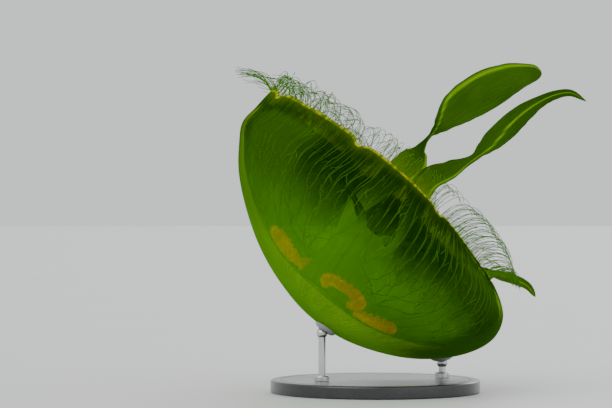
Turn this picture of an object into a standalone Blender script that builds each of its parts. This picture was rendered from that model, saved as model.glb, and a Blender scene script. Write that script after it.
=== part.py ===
"""A moon jellyfish (Aurelia aurita) at life size, in a swimming stroke, held on a small display stand.

The bell opens up and to the right, so its crown points down and to the left. Every part of the animal is
laid out in the bell's own frame: x and y across the bell, and a depth that runs from the crown along the
bell's axis and out of its mouth. Azimuths turn about that axis, from 0 at the bell's low side. -90 degrees
is its front.
"""
import math

import bmesh
import bpy
from mathutils import Matrix, Vector

MM = 0.001
TURN = 2 * math.pi
GAP = 0.4 * MM  # between neighbouring solids
CEILING_GAP = 0.9 * MM  # between the faceted ceiling of the bell and what hangs from it

# How the animal hangs in the world
AXIS_RISE = math.radians(52.5)  # of the mouth's direction above the horizon
AXIS_AWAY = math.radians(3.5)  # the mouth also turns a little to the back
CROWN_POINT = Vector((-42, -4, 48.5)) * MM

# The bell: its outline from the crown to the rim as (radius, depth) in mm, at azimuths 0, 180 and +-90
LOW_SIDE = [
    (0, 0), (28, 1.5), (56, 11), (77, 24), (93, 40.5), (100.5, 57), (97.5, 71.5), (85.5, 81), (77.5, 82.5),
]
HIGH_SIDE = [
    (0, 0), (25.5, 5.5), (48.5, 15), (69.5, 28.5), (87, 43.5), (98, 58), (104.5, 70), (103.4, 82.5),
    (102.3, 96),
]
FRONT_SIDE = [
    (0, 0), (27, 3.5), (52, 13), (73, 26), (89.5, 42), (97.5, 58.5), (96.5, 73.5), (84, 87), (77, 97.5),
]
CROWN_THICK = 17 * MM
RIM_THICK = 1.8 * MM
THINNING = 2.2  # how soon the wall thins from the crown outwards, as a power
LEAN = 0.2  # the share by which the wall is thicker on the low side and thinner on the high one
LEAN_START = 0.3  # the share of the outline over which that sets in
SLOPE_STEP = 0.004  # of the outline, to either side of a point, for the skin's direction there
RIM_STEP = 0.01  # the same at the rim, where it is taken to one side
CROWN_SHARE = 0.55  # of the outline belongs to the crown, and the rest is parted into lobes
CROWN_SHARES = [0.05, 0.15, 0.25, 0.35, 0.45, CROWN_SHARE - 0.001]
CROWN_SIDES = 48
LOBE_START = CROWN_SHARE + 0.002
LOBE_SECTIONS = [0.0035, 0.09, 0.2, 0.35, 0.5, 0.65, 0.8, 0.91, 0.9965]  # shares of the way across a lobe
LOBE_STEPS = 5  # along the outline
LIP = 0.4 * RIM_THICK  # how far the rounded lip stands past the rim

# Four-fold symmetry: an arm every quarter turn, a gonad between each two, a notch of the rim at all eight
FIRST_ARM = math.radians(-27)
LOBES = 8
NOTCH_DEPTH = 0.035  # as a share of the outline
NOTCH_WIDTH = math.radians(3)
SENSE_RADIUS = 0.9 * MM

# The fringe
TENTACLES_PER_LOBE = 8
TENTACLE_STEPS = 4
FRINGE_SHARE = 0.9  # of a lobe's edge carries tentacles
TENTACLE_LENGTH = 35 * MM
TENTACLE_ROOT = 0.7 * MM
TENTACLE_TIP = 0.3 * MM
TENTACLE_DEPTH = 2 * MM  # of its foot inside the rim
TENTACLE_RISE = 1.8  # the weight of a tentacle's rise beside its fall
TENTACLE_SPREAD = 0.3  # how far its rise also leads outwards
TENTACLE_DROOP = 0.35  # of its fall, at the front and back; none on the low side and twice this on the high
FRONT_DROOP = 0.5  # the further droop at the front, and what the back has less
TIP_LEAN = 0.25  # of its fall, to the middle of its lobe
SIDE_LEAN = 0.3  # of its fall, round the bell
LOBE_END_LOSS = 0.12  # the share of its length that it loses at a lobe's ends
HIGH_LOSS = 0.13  # the same on the high side
COMB_LOSS = 0.1  # the same in the comb, where all run alike
LOW_LOSS = 0.12  # the same at the lowest part of the comb
COMB_LOW = (-0.3, 0.6)  # how far to the low side the comb sets in and is full, as a cosine
COMB_BACK = (0.1, 0.6)  # how far to the back it fades and ends, as a sine
COMB_SWEEP = 0.6  # the share by which the comb leads to the low side instead of outwards
COMB_TILT = 0.35  # the comb's angle above the level at its start
COMB_BEND = 1.9  # the angle by which it has bent down at its end

# Gonads and mouth stalk under the crown
GONAD_PLACE = 36 * MM  # from the axis
GONAD_TURN = math.radians(-5)  # from the middle between two arms
GONAD_BEND = 12.5 * MM
GONAD_WIDTH = 9 * MM
GONAD_HEIGHT = 6.5 * MM
GONAD_SWEEP = math.radians(130)  # each way from outwards, so that the horseshoe opens to the axis
GONAD_STEPS = 12
GONAD_SIDES = 8
STALK_WAIST = 11 * MM
STALK_CORNER = 10 * MM
STALK_END = 64 * MM
STALK_SIDES = 32
STALK_TAPER = [(0, 1.0), (0.3, 0.98), (0.6, 0.93), (0.8, 0.85), (0.93, 0.72), (1.0, 0.5)]  # (share, size)

# The oral arms, each a list of stations along the arm, in mm in the bell's frame:
# (x, y, depth, width, turn), where a turn of 0 lays the blade across the view from the front
ARMS = {
    "front": [
        (15, -7.5, 67.5, 13, 55), (12, -14, 84, 15, 35), (8, -20, 108, 15.3, 0), (15, -23, 122.5, 11.5, 0),
        (22, -24, 136, 6, -55), (25, -24, 151, 12, -20), (27, -23, 164.5, 13.8, 0),
        (29.5, -21, 178, 11.7, 5),
        (33.6, -18, 190.6, 7.6, 10), (39, -14, 200.7, 5.6, 10), (46.2, -10, 208, 4.2, 0),
        (57, -6, 210.5, 1.6, 0),
    ],
    "low": [
        (8, 15.5, 66, 12, 60), (32, 17.5, 78, 11, 75), (60, 19.5, 88, 9, 80), (76, 24, 92.5, 8, 60),
        (91, 27, 98, 7, 30), (100.5, 28, 99.8, 5, 20), (108.5, 28, 97.3, 2, 0),
    ],
    "back": [
        (-15, 7.5, 67.5, 13, -50), (-11, 16, 90, 15, -30), (-5, 24, 117, 18.5, 0), (-6.6, 27, 128, 9, 35),
        (-7, 28, 138, 6, 60), (-5.4, 30, 149, 12, 15), (-2.9, 30, 163, 22.5, 0), (3.6, 30, 181, 26, 0),
        (11.6, 30, 197, 21, 0), (19.5, 28, 207.5, 13, 10), (26, 26.5, 212.5, 8, 20),
    ],
    "high": [
        (-7.5, -15, 66, 12, -60), (-22, -13, 76, 12, -75), (-40, -13, 83, 11, -80),
        (-56, -18, 85, 9, -70), (-69, -22, 82, 7, -60), (-79, -25, 76, 2.5, -60),
    ],
}
ARM_CUTS = {"front": (2, 5), "low": (2,), "back": (2, 5), "high": (2,)}  # the stations where a length ends
LENGTH_NAMES = {2: ("base", "tip"), 3: ("base", "middle", "tip")}
RIB_THICK = 2.6 * MM
RIB_SHARE = 0.22  # of the arm's width
BLADE_EDGE = 0.8 * MM
BLADE_FOLD = 0.28  # how far the blade's wings fold up from its rib
CUT_GAP = 0.48 * MM  # between two lengths of an arm
ARM_STEP = 0.002  # of an arm's line, to either side of a point, for its direction there

# The stand
BASE_RADIUS = 65 * MM
BASE_HEIGHT = 8 * MM
BASE_BEVEL = 1.5 * MM
ROD_RADIUS = 2.2 * MM
BALL_RADIUS = 3.4 * MM
PAD_RADIUS = 7 * MM
PAD_THICK = 2.4 * MM
RESTS = [(0.08, math.radians(-40)), (0.43, math.radians(12))]  # (share of the outline, azimuth) of each rod
REST_STEP = 0.02  # to either side of that place, for the skin's slope there

mouthward = Vector((
    math.cos(AXIS_AWAY) * math.cos(AXIS_RISE),
    math.sin(AXIS_AWAY),
    math.cos(AXIS_AWAY) * math.sin(AXIS_RISE),
))
lowward = Vector((math.sin(AXIS_RISE), 0, -math.cos(AXIS_RISE)))
backward = mouthward.cross(lowward)


def place(x, y, depth):
    """The world point at these coordinates of the bell's own frame."""
    return CROWN_POINT + lowward * x + backward * y + mouthward * depth


def spline(points, t):
    """A smooth curve through all points but the first, which only leads in to it, with t from 0 to 1."""
    steps = len(points) - 2
    at = min(max(t, 0) * steps, steps - 1e-9)
    i = int(at)
    u = at - i
    before, start, end = points[i], points[i + 1], points[i + 2]
    after = points[i + 3] if i + 3 < len(points) else end * 2 - start
    return 0.5 * (
        2 * start
        + (end - before) * u
        + (2 * before - 5 * start + 4 * end - after) * u ** 2
        + (3 * start - before - 3 * end + after) * u ** 3
    )


def outline(azimuth):
    """The bell's outline at an azimuth, as control points for spline."""
    front = math.sin(azimuth) ** 2
    low = (1 - front + math.cos(azimuth)) / 2
    high = 1 - front - low
    shares = [(Vector(a), Vector(b), Vector(c)) for a, b, c in zip(LOW_SIDE, HIGH_SIDE, FRONT_SIDE)]
    points = [(a * low + b * high + c * front) * MM for a, b, c in shares]
    a, b, c = shares[1]
    across = (a * high + b * low + c * front) * MM
    return [Vector((-across.x, across.y))] + points


def thickness(t, azimuth):
    """The bell's wall is thickest at the crown, and thicker towards the low side."""
    lean = 1 + LEAN * math.cos(azimuth) * min(t / LEAN_START, 1)
    return RIM_THICK + (CROWN_THICK - RIM_THICK) * (1 - t) ** THINNING * lean


def bell(t, azimuth, inside=0.0, under=0.0):
    """A point of the bell: at its outer skin, or, with inside 1, at its inner one, and under further in."""
    points = outline(azimuth)
    here = spline(points, t)
    along = (spline(points, min(t + SLOPE_STEP, 1)) - spline(points, max(t - SLOPE_STEP, 0))).normalized()
    here += Vector((-along.y, along.x)) * (inside * thickness(t, azimuth) + under)
    return Vector((here.x * math.cos(azimuth), here.x * math.sin(azimuth), here.y))


def rim(azimuth):
    """How far along its outline the bell reaches at an azimuth: less in the notches between its lobes."""
    spread = TURN / LOBES
    off = (azimuth - FIRST_ARM + spread / 2) % spread - spread / 2
    return 1 - NOTCH_DEPTH * math.exp(-((off / NOTCH_WIDTH) ** 2))


def ceiling(x, y, under):
    """The point this far under the bell's inner skin, at these x and y."""
    azimuth = math.atan2(y, x)
    low, high = 0.0, 1.0
    for _ in range(24):
        middle = (low + high) / 2
        found = bell(middle, azimuth, 1, under)
        if math.hypot(found.x, found.y) < math.hypot(x, y):
            low = middle
        else:
            high = middle
    return bell(low, azimuth, 1, under)


def material(name, colour, roughness, metallic=0.0):
    made = bpy.data.materials.new(name)
    made.use_nodes = True
    shader = made.node_tree.nodes["Principled BSDF"]
    shader.inputs["Base Color"].default_value = (*colour, 1)
    shader.inputs["Roughness"].default_value = roughness
    shader.inputs["Metallic"].default_value = metallic
    return made


def add(name, mesh, finish, collection):
    obj = bpy.data.objects.new(name, mesh)
    mesh.materials.clear()
    mesh.materials.append(finish)
    collection.objects.link(obj)
    return obj


def loft(rings):
    """A closed body through rings of world points, as many in each, with both ends closed."""
    shape = bmesh.new()
    made = [[shape.verts.new(p) for p in ring] for ring in rings]
    for a, b in zip(made, made[1:]):
        for i in range(len(a)):
            j = (i + 1) % len(a)
            shape.faces.new((a[i], a[j], b[j], b[i]))
    shape.faces.new(reversed(made[0]))
    shape.faces.new(made[-1])
    bmesh.ops.triangulate(shape, faces=[f for f in shape.faces if len(f.verts) > 4])
    bmesh.ops.recalc_face_normals(shape, faces=shape.faces)
    mesh = bpy.data.meshes.new("loft")
    shape.to_mesh(mesh)
    shape.free()
    mesh.shade_smooth()
    mesh.set_sharp_from_angle(angle=math.radians(50))
    return mesh


def joined(obj, others):
    """Unites obj with the others, which are then removed."""
    for other in others:
        join = obj.modifiers.new("join", "BOOLEAN")
        join.operation = "UNION"
        join.object = other
    bpy.context.view_layer.update()
    whole = bpy.data.meshes.new_from_object(obj.evaluated_get(bpy.context.evaluated_depsgraph_get()))
    obj.modifiers.clear()
    obj.data = whole
    for other in others:
        bpy.data.objects.remove(other)
    return obj


def bell_crown(finish, collection):
    """The thick middle of the bell, down to where its lobes begin."""
    around = [TURN * i / CROWN_SIDES for i in range(CROWN_SIDES)]
    outer = [[place(*bell(t, a)) for a in around] for t in CROWN_SHARES]
    inner = [[place(*bell(t, a, 1)) for a in around] for t in reversed(CROWN_SHARES)]
    return add("bell_crown", loft(outer + inner), finish, collection)


def rim_edge(azimuth):
    """The middle of the rim at an azimuth, and the direction in which the wall ends there."""
    end = rim(azimuth)
    edge = bell(end, azimuth, 0.5)
    return edge, (edge - bell(end - RIM_STEP, azimuth, 0.5)).normalized()


def eased(low, high, x):
    """0 up to low, 1 from high on, and a smooth rise between them."""
    u = min(1, max(0, (x - low) / (high - low)))
    return u * u * (3 - 2 * u)


def tentacle_path(azimuth, lobe_side):
    """A tentacle's line, from inside the rim outwards. lobe_side runs from -1 to 1 across the lobe.

    It leaves along the wall. In the comb on the low side it then runs level and bends down towards its end.
    Elsewhere it rises towards the mouth, most of all at the back, and falls outwards, with a droop on the
    high side and at the front. Its tip leans towards the middle of its lobe.
    """
    here, start = rim_edge(azimuth)
    low, back = math.cos(azimuth), math.sin(azimuth)
    out = Vector((low, back, 0))
    side = Vector((-back, low, 0))
    depthwise = Vector((0, 0, 1))
    comb = eased(*COMB_LOW, low) * (1 - eased(*COMB_BACK, back))
    swept = (out * (1 - COMB_SWEEP) + Vector((COMB_SWEEP, 0, 0))).normalized()
    level = swept * math.sin(AXIS_RISE) + depthwise * math.cos(AXIS_RISE)
    upward = depthwise * math.sin(AXIS_RISE) - swept * math.cos(AXIS_RISE)
    rise = depthwise * (1 + (1 + back) / 2) + out * TENTACLE_SPREAD
    droop = TENTACLE_DROOP * (1 - low) - FRONT_DROOP * back
    fall = out - depthwise * droop + side * (SIDE_LEAN * back - TIP_LEAN * lobe_side)
    length = TENTACLE_LENGTH * (1 - LOBE_END_LOSS * lobe_side ** 2)
    length *= 1 + HIGH_LOSS * min(low, 0) - COMB_LOSS * comb - LOW_LOSS * max(low, 0) ** 4
    points = [here - start * TENTACLE_DEPTH]
    for i in range(TENTACLE_STEPS):
        u = (i + 0.5) / TENTACLE_STEPS
        loose = start * (1 - u) ** 3 + rise * TENTACLE_RISE * u * (1 - u) ** 2 + fall * u ** 1.5
        angle = COMB_TILT - COMB_BEND * u ** 2.2
        drawn = start * (1 - u) ** 4 + level * math.cos(angle) + upward * math.sin(angle)
        heading = (loose.normalized() * (1 - comb) + drawn.normalized() * comb).normalized()
        points.append(here)
        here = here + heading * (length / TENTACLE_STEPS)
    points.append(here)
    return points


def tube(points, radii, collection):
    """A tapered four-sided tube through world points."""
    curve = bpy.data.curves.new("tube", "CURVE")
    curve.dimensions = "3D"
    curve.bevel_depth = 1.0
    curve.bevel_resolution = 0
    curve.use_fill_caps = True
    line = curve.splines.new("POLY")
    line.points.add(len(points) - 1)
    for point, at, radius in zip(line.points, points, radii):
        point.co = (*at, 1)
        point.radius = radius
    guide = bpy.data.objects.new("tube", curve)
    collection.objects.link(guide)
    bpy.context.view_layer.update()
    mesh = bpy.data.meshes.new_from_object(guide.evaluated_get(bpy.context.evaluated_depsgraph_get()))
    shape = bmesh.new()
    shape.from_mesh(mesh)
    bmesh.ops.remove_doubles(shape, verts=shape.verts, dist=1e-6)
    bmesh.ops.recalc_face_normals(shape, faces=shape.faces)
    shape.to_mesh(mesh)
    shape.free()
    made = bpy.data.objects.new("tube", mesh)
    collection.objects.link(made)
    bpy.data.objects.remove(guide)
    return made


def bell_lobe(number, finish, collection):
    """One lobe of the bell with the tentacles of its edge."""
    first = FIRST_ARM + TURN / LOBES * number
    spread = TURN / LOBES
    sections = []
    for across in LOBE_SECTIONS:
        azimuth = first + spread * across
        reach = rim(azimuth) - LOBE_START
        shares = [LOBE_START + reach * i / LOBE_STEPS for i in range(LOBE_STEPS + 1)]
        edge, heading = rim_edge(azimuth)
        outer = [bell(t, azimuth) for t in shares]
        inner = [bell(t, azimuth, 1) for t in reversed(shares)]
        sections.append([place(*p) for p in outer + [edge + heading * LIP] + inner])
    lobe = add(f"bell_lobe_{number + 1}", loft(sections), finish, collection)
    fringe = []
    for i in range(TENTACLES_PER_LOBE):
        lobe_side = ((i + 0.5) / TENTACLES_PER_LOBE * 2 - 1) * FRINGE_SHARE
        azimuth = first + spread * (lobe_side + 1) / 2
        points = [place(*p) for p in tentacle_path(azimuth, lobe_side)]
        taper = (TENTACLE_TIP - TENTACLE_ROOT) / (len(points) - 1)
        radii = [TENTACLE_ROOT + taper * j for j in range(len(points))]
        fringe.append(tube(points, radii, collection))
    return joined(lobe, fringe)


def sense_organ(number, finish, collection):
    """The small club in the notch before a lobe."""
    edge, heading = rim_edge(FIRST_ARM + TURN / LOBES * number)
    at = place(*(edge + heading * (LIP + SENSE_RADIUS + GAP)))
    shape = bmesh.new()
    bmesh.ops.create_icosphere(shape, subdivisions=1, radius=SENSE_RADIUS, matrix=Matrix.Translation(at))
    mesh = bpy.data.meshes.new("sense_organ")
    shape.to_mesh(mesh)
    shape.free()
    mesh.shade_smooth()
    return add(f"rhopalium_{number + 1}", mesh, finish, collection)


def gonad(number, finish, collection):
    """One of the four horseshoes that hang under the crown."""
    azimuth = FIRST_ARM + TURN / 8 + TURN / 4 * number + GONAD_TURN
    middle = Vector((math.cos(azimuth), math.sin(azimuth), 0)) * GONAD_PLACE
    sections = []
    for i in range(GONAD_STEPS + 1):
        share = i / GONAD_STEPS * 2 - 1
        bend = azimuth + GONAD_SWEEP * share
        out = Vector((math.cos(bend), math.sin(bend), 0))
        half = GONAD_WIDTH / 2 * (1 - 0.5 * share ** 4)
        high = GONAD_HEIGHT * (1 - 0.4 * share ** 4)
        section = []
        for j in range(GONAD_SIDES):
            around = TURN * (j + 0.5) / GONAD_SIDES
            at = middle + out * (GONAD_BEND + half * math.cos(around))
            section.append(place(*ceiling(at.x, at.y, CEILING_GAP + high * (1 + math.sin(around)) / 2)))
        sections.append(section)
    return add(f"gonad_{number + 1}", loft(sections), finish, collection)


def mouth_stalk(finish, collection):
    """The four-cornered stalk of the mouth, whose corners carry the arms."""
    foot = []
    for i in range(STALK_SIDES):
        azimuth = FIRST_ARM + TURN * i / STALK_SIDES
        radius = STALK_WAIST + STALK_CORNER * math.cos(2 * (azimuth - FIRST_ARM)) ** 6
        foot.append((radius * math.cos(azimuth), radius * math.sin(azimuth)))
    rings = []
    for share, size in STALK_TAPER:
        ring = []
        for x, y in foot:
            above = ceiling(x, y, CEILING_GAP)
            ring.append(place(x * size, y * size, above.z + (STALK_END - above.z) * share))
        rings.append(ring)
    return add("mouth_stalk", loft(rings), finish, collection)


def blade_section(here, along, width, turn):
    """The outline across an arm: a thick rib with a thin wing on each side, folded up from it."""
    flat = along.cross(Vector((0, 1, 0))).normalized()
    across = Matrix.Rotation(math.radians(turn), 3, along) @ flat
    up = along.cross(across).normalized()
    half = width / 2
    rib = min(RIB_THICK, width) / 2
    edge = BLADE_EDGE / 2
    lower = [(-1, -edge), (-RIB_SHARE, -rib), (RIB_SHARE, -rib), (1, -edge)]
    corners = lower + [(u, -v) for u, v in reversed(lower)]
    return [here + across * (u * half) + up * (v + abs(u) * half * BLADE_FOLD) for u, v in corners]


def oral_arm(name, finish, collection):
    """One oral arm, in lengths that meet end to end."""
    stations = ARMS[name]
    line = [Vector(station[:3]) * MM for station in stations]
    values = [Vector(station[3:]) for station in stations]
    line.insert(0, line[0] * 2 - line[1])
    values.insert(0, values[0] * 2 - values[1])
    last = len(stations) - 1
    ends = [0, *ARM_CUTS[name], last]
    for part, start, end in zip(LENGTH_NAMES[len(ends) - 1], ends, ends[1:]):
        steps = 2 * (end - start)
        rings = []
        for i in range(steps + 1):
            t = (start + i / 2) / last
            along = spline(line, min(t + ARM_STEP, 1)) - spline(line, max(t - ARM_STEP, 0))
            inset = CUT_GAP * ARM_STEP / along.length
            t += inset * (i == 0) * (start > 0) - inset * (i == steps) * (end < last)
            width, turn = spline(values, t)
            section = blade_section(spline(line, t), along.normalized(), width * MM, turn)
            rings.append([place(*p) for p in section])
        add(f"oral_arm_{name}_{part}", loft(rings), finish, collection)


def stand_base(finish, collection):
    bpy.ops.mesh.primitive_cylinder_add(
        vertices=48,
        radius=BASE_RADIUS,
        depth=BASE_HEIGHT,
        location=(0, 0, BASE_HEIGHT / 2),
    )
    base = bpy.context.object
    base.name = "stand_base"
    base.data.materials.append(finish)
    bevel = base.modifiers.new("edge", "BEVEL")
    bevel.width = BASE_BEVEL
    bevel.segments = 2
    bevel.limit_method = "ANGLE"
    moved_to(base, collection)
    return base


def moved_to(obj, collection):
    for owner in obj.users_collection:
        owner.objects.unlink(obj)
    collection.objects.link(obj)


def stand_rod(number, finish, collection):
    """An upright rod with a ball at its top, and on the ball a round pad that lies along the bell's skin."""
    share, azimuth = RESTS[number]
    touch = place(*bell(share, azimuth))
    downhill = place(*bell(share + REST_STEP, azimuth)) - place(*bell(share - REST_STEP, azimuth))
    sideways = place(*bell(share, azimuth + REST_STEP)) - place(*bell(share, azimuth - REST_STEP))
    outward = downhill.cross(sideways).normalized()
    if outward.z > 0:
        outward.negate()
    pad_middle = touch + outward * (GAP + PAD_THICK / 2)
    ball_middle = pad_middle + outward * (PAD_THICK / 2 + BALL_RADIUS * 0.5)
    foot = BASE_HEIGHT + GAP
    bpy.ops.mesh.primitive_cylinder_add(
        vertices=16,
        radius=ROD_RADIUS,
        depth=ball_middle.z - foot,
        location=(ball_middle.x, ball_middle.y, (ball_middle.z + foot) / 2),
    )
    rod = bpy.context.object
    rod.name = f"stand_rod_{number + 1}"
    rod.data.materials.append(finish)
    bpy.ops.mesh.primitive_uv_sphere_add(segments=12, ring_count=8, radius=BALL_RADIUS, location=ball_middle)
    ball = bpy.context.object
    bpy.ops.mesh.primitive_cylinder_add(
        vertices=20,
        radius=PAD_RADIUS,
        depth=PAD_THICK,
        location=pad_middle,
        rotation=outward.to_track_quat("Z", "Y").to_euler(),
    )
    pad = bpy.context.object
    moved_to(rod, collection)
    return joined(rod, [ball, pad])


def main():
    for obj in list(bpy.data.objects):
        bpy.data.objects.remove(obj)
    collection = bpy.data.collections.new("moon_jellyfish")
    bpy.context.scene.collection.children.link(collection)
    bell_flesh = material("bell_flesh", (0.20, 0.42, 0.03), 0.25)
    arm_flesh = material("arm_flesh", (0.28, 0.50, 0.05), 0.3)
    gonad_tissue = material("gonad_tissue", (0.72, 0.50, 0.06), 0.45)
    sense_tissue = material("sense_tissue", (0.45, 0.38, 0.05), 0.4)
    lacquer = material("stand_lacquer", (0.03, 0.03, 0.032), 0.3)
    steel = material("stand_steel", (0.62, 0.63, 0.64), 0.28, 1.0)
    bell_crown(bell_flesh, collection)
    for number in range(LOBES):
        bell_lobe(number, bell_flesh, collection)
        sense_organ(number, sense_tissue, collection)
    for number in range(4):
        gonad(number, gonad_tissue, collection)
    mouth_stalk(arm_flesh, collection)
    for name in ARMS:
        oral_arm(name, arm_flesh, collection)
    stand_base(lacquer, collection)
    for number in range(len(RESTS)):
        stand_rod(number, steel, collection)


main()
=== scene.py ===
"""A moon jellyfish at life size, in a swimming stroke: a gel bell with its canals, gonads, frilled mouth
arms and fringe, held on a small lacquered stand.

The animal is laid out in the bell's frame: x and y across the bell, and depth from its crown along its axis.
A share is a distance along the bell's outline, from 0 at the crown to 1 at the rim. An azimuth turns about
the axis: 0 is the bell's low side, and -90 degrees its front.
"""

import math

import bmesh
import bpy
import numpy as np
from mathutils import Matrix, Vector
from mathutils.kdtree import KDTree

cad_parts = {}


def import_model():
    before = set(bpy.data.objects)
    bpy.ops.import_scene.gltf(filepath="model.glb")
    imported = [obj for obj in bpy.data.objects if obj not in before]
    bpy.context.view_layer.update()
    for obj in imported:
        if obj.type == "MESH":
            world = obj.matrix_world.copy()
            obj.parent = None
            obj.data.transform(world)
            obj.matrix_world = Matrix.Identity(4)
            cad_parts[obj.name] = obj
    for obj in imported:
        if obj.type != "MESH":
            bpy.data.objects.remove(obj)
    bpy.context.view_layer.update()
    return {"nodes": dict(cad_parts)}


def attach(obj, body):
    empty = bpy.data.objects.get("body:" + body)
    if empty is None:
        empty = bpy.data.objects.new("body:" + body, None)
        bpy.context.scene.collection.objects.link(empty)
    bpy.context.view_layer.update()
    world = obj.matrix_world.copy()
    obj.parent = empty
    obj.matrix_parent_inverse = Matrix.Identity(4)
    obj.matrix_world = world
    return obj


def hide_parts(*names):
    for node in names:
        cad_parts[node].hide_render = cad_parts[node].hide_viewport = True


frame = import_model()

MM = 0.001
TURN = 2 * math.pi
QUARTER = TURN / 4

# How the animal hangs in the world
AXIS_RISE = math.radians(52.5)  # of the mouth's direction above the horizon
AXIS_AWAY = math.radians(3.5)  # by which it also turns to the back
CROWN_POINT = np.array((-42, -4, 48.5)) * MM
MOUTHWARD = np.array((
    math.cos(AXIS_AWAY) * math.cos(AXIS_RISE),
    math.sin(AXIS_AWAY),
    math.cos(AXIS_AWAY) * math.sin(AXIS_RISE),
))
LOWWARD = np.array((math.sin(AXIS_RISE), 0, -math.cos(AXIS_RISE)))
TO_WORLD = np.array((LOWWARD, np.cross(MOUTHWARD, LOWWARD), MOUTHWARD))

# The bell: its outline from the crown to the rim as (radius, depth), at azimuths 0, 180 and +-90
LOW_SIDE = np.array([
    (0, 0), (28, 1.5), (56, 11), (77, 24), (93, 40.5), (100.5, 57), (97.5, 71.5), (85.5, 81), (77.5, 82.5),
]) * MM
HIGH_SIDE = np.array([
    (0, 0), (25.5, 5.5), (48.5, 15), (69.5, 28.5), (87, 43.5), (98, 58), (104.5, 70), (103.4, 82.5),
    (102.3, 96),
]) * MM
FRONT_SIDE = np.array([
    (0, 0), (27, 3.5), (52, 13), (73, 26), (89.5, 42), (97.5, 58.5), (96.5, 73.5), (84, 87), (77, 97.5),
]) * MM
CROWN_THICK = 17 * MM
RIM_THICK = 1.8 * MM
THINNING = 2.2  # the power by which the wall thins outwards
LEAN = 0.2  # how much thicker the wall is on the low side
LEAN_START = 0.3  # the share over which that sets in
SLOPE_STEP = 0.004  # to either side, for the skin's direction
RIM_STEP = 0.01  # before the rim, for its direction
LIP = 0.4 * RIM_THICK  # how far the rounded lip stands past the rim

# An arm every quarter turn, a gonad between each two, and a notch of the rim at all eight
FIRST_ARM = math.radians(-27)
LOBES = 8
LOBE = TURN / LOBES
NOTCH_DEPTH = 0.035  # of the outline
NOTCH_WIDTH = math.radians(3)

# The skin's mesh and its fine shape
COLUMNS = 720  # round the bell
OUTER_ROWS = 72
LIP_ROWS = 7
INNER_ROWS = 64
FILLET_ROWS = 7
STALK_ROWS = 17
PLEAT_DEPTH = 0.35 * MM
BEADS = 200  # small scallops round the rim
MARKS = ("share", "inner", "arm", "rib")  # of a point, for its finish
RAY_PACE = 0.12  # how fast the streaks change along the bell, beside across it
SEAM_MISS = 0.02 * MM  # a point this far from all laid out lies on a seam
SEAM_REACH = 3.5 * MM  # how far from a seam the skin is evened out
SEAM_ROUNDS = 40

# Stalk and gonads
STALK_WAIST = 11 * MM
STALK_CORNER = 10 * MM
STALK_END = 64 * MM
STALK_TAPER = [(0, 1.0), (0.3, 0.98), (0.6, 0.93), (0.8, 0.85), (0.93, 0.72), (1.0, 0.5)]
MOUTH_LIPS = [(0.85, 0.6), (0.68, 0.0), (0.5, -2.5), (0.3, -5)]  # size and lift (mm) of rings into the mouth
FILLET = 5 * MM
FILLET_SHARE = 0.2
CEILING_GAP = 0.9 * MM
GONAD_PLACE = 36 * MM
GONAD_TURN = math.radians(-5)  # from the middle between two arms
GONAD_BEND = 12.5 * MM
GONAD_WIDTH = 9 * MM
GONAD_HEIGHT = 6.5 * MM
GONAD_SWEEP = math.radians(130)
GONAD_STEPS = 260
GONAD_SIDES = 28

# The oral arms: stations of (x, y, depth, width, turn) in mm and degrees, in the bell's frame
ARMS = {
    "front": [
        (15, -7.5, 67.5, 13, 55), (12, -14, 84, 15, 35), (8, -20, 108, 15.3, 0), (15, -23, 122.5, 11.5, 0),
        (22, -24, 136, 6, -55), (25, -24, 151, 12, -20), (27, -23, 164.5, 13.8, 0), (29.5, -21, 178, 11.7, 5),
        (33.6, -18, 190.6, 7.6, 10), (39, -14, 200.7, 5.6, 10), (46.2, -10, 208, 4.2, 0),
        (57, -6, 210.5, 1.6, 0),
    ],
    "low": [
        (8, 15.5, 66, 12, 60), (32, 17.5, 78, 11, 75), (60, 19.5, 88, 9, 80), (76, 24, 92.5, 8, 60),
        (91, 27, 98, 7, 30), (100.5, 28, 99.8, 5, 20), (108.5, 28, 97.3, 2, 0),
    ],
    "back": [
        (-15, 7.5, 67.5, 13, -50), (-11, 16, 90, 15, -30), (-5, 24, 117, 18.5, 0), (-6.6, 27, 128, 9, 35),
        (-7, 28, 138, 6, 60), (-5.4, 30, 149, 12, 15), (-2.9, 30, 163, 22.5, 0), (3.6, 30, 181, 26, 0),
        (11.6, 30, 197, 21, 0), (19.5, 28, 207.5, 13, 10), (26, 26.5, 212.5, 8, 20),
    ],
    "high": [
        (-7.5, -15, 66, 12, -60), (-22, -13, 76, 12, -75), (-40, -13, 83, 11, -80),
        (-56, -18, 85, 9, -70), (-69, -22, 82, 7, -60), (-79, -25, 76, 2.5, -60),
    ],
}
ARM_ROOT_DEPTH = 50 * MM  # where an arm begins, inside the stalk
ARM_ROOT_SHARE = 0.62  # of its first station's distance from the axis
ARM_STEP = 0.65 * MM  # from ring to ring
ARM_AROUND = 28
ARM_TIP = 0.06  # of its length that rounds its end
ARM_TIP_WIDTH = 0.6  # in mm
ARM_DARKENS = (0.1, 0.3)  # where the stalk's look turns into the blade's
RIB_PLACES = {"front": (-0.78, 0.05), "low": (-0.3, 0), "back": (-0.85, 0.8), "high": (0.2, 0)}  # base, tip
RIB_SHIFT = (0.35, 0.65)  # where the rib goes from the one to the other
RIB_THICK = 2.4 * MM
RIB_SPREAD = 0.14
BLADE_EDGE = 0.7 * MM
BLADE_BLUNT = 2.6  # how full the blade is towards its edges
BLADE_FOLD = 0.28
EDGE_SHINE = 0.25  # how far the thin edge is as bright and dense as the rib
FRILL_HEIGHT = 0.4 * MM  # on a blade 10 mm wide
FRILL_WAVE = 12 * MM
ARM_RAY = (3.0, 0.4)  # where an arm's streaks lie, clear of the bell's, and their spread

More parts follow.
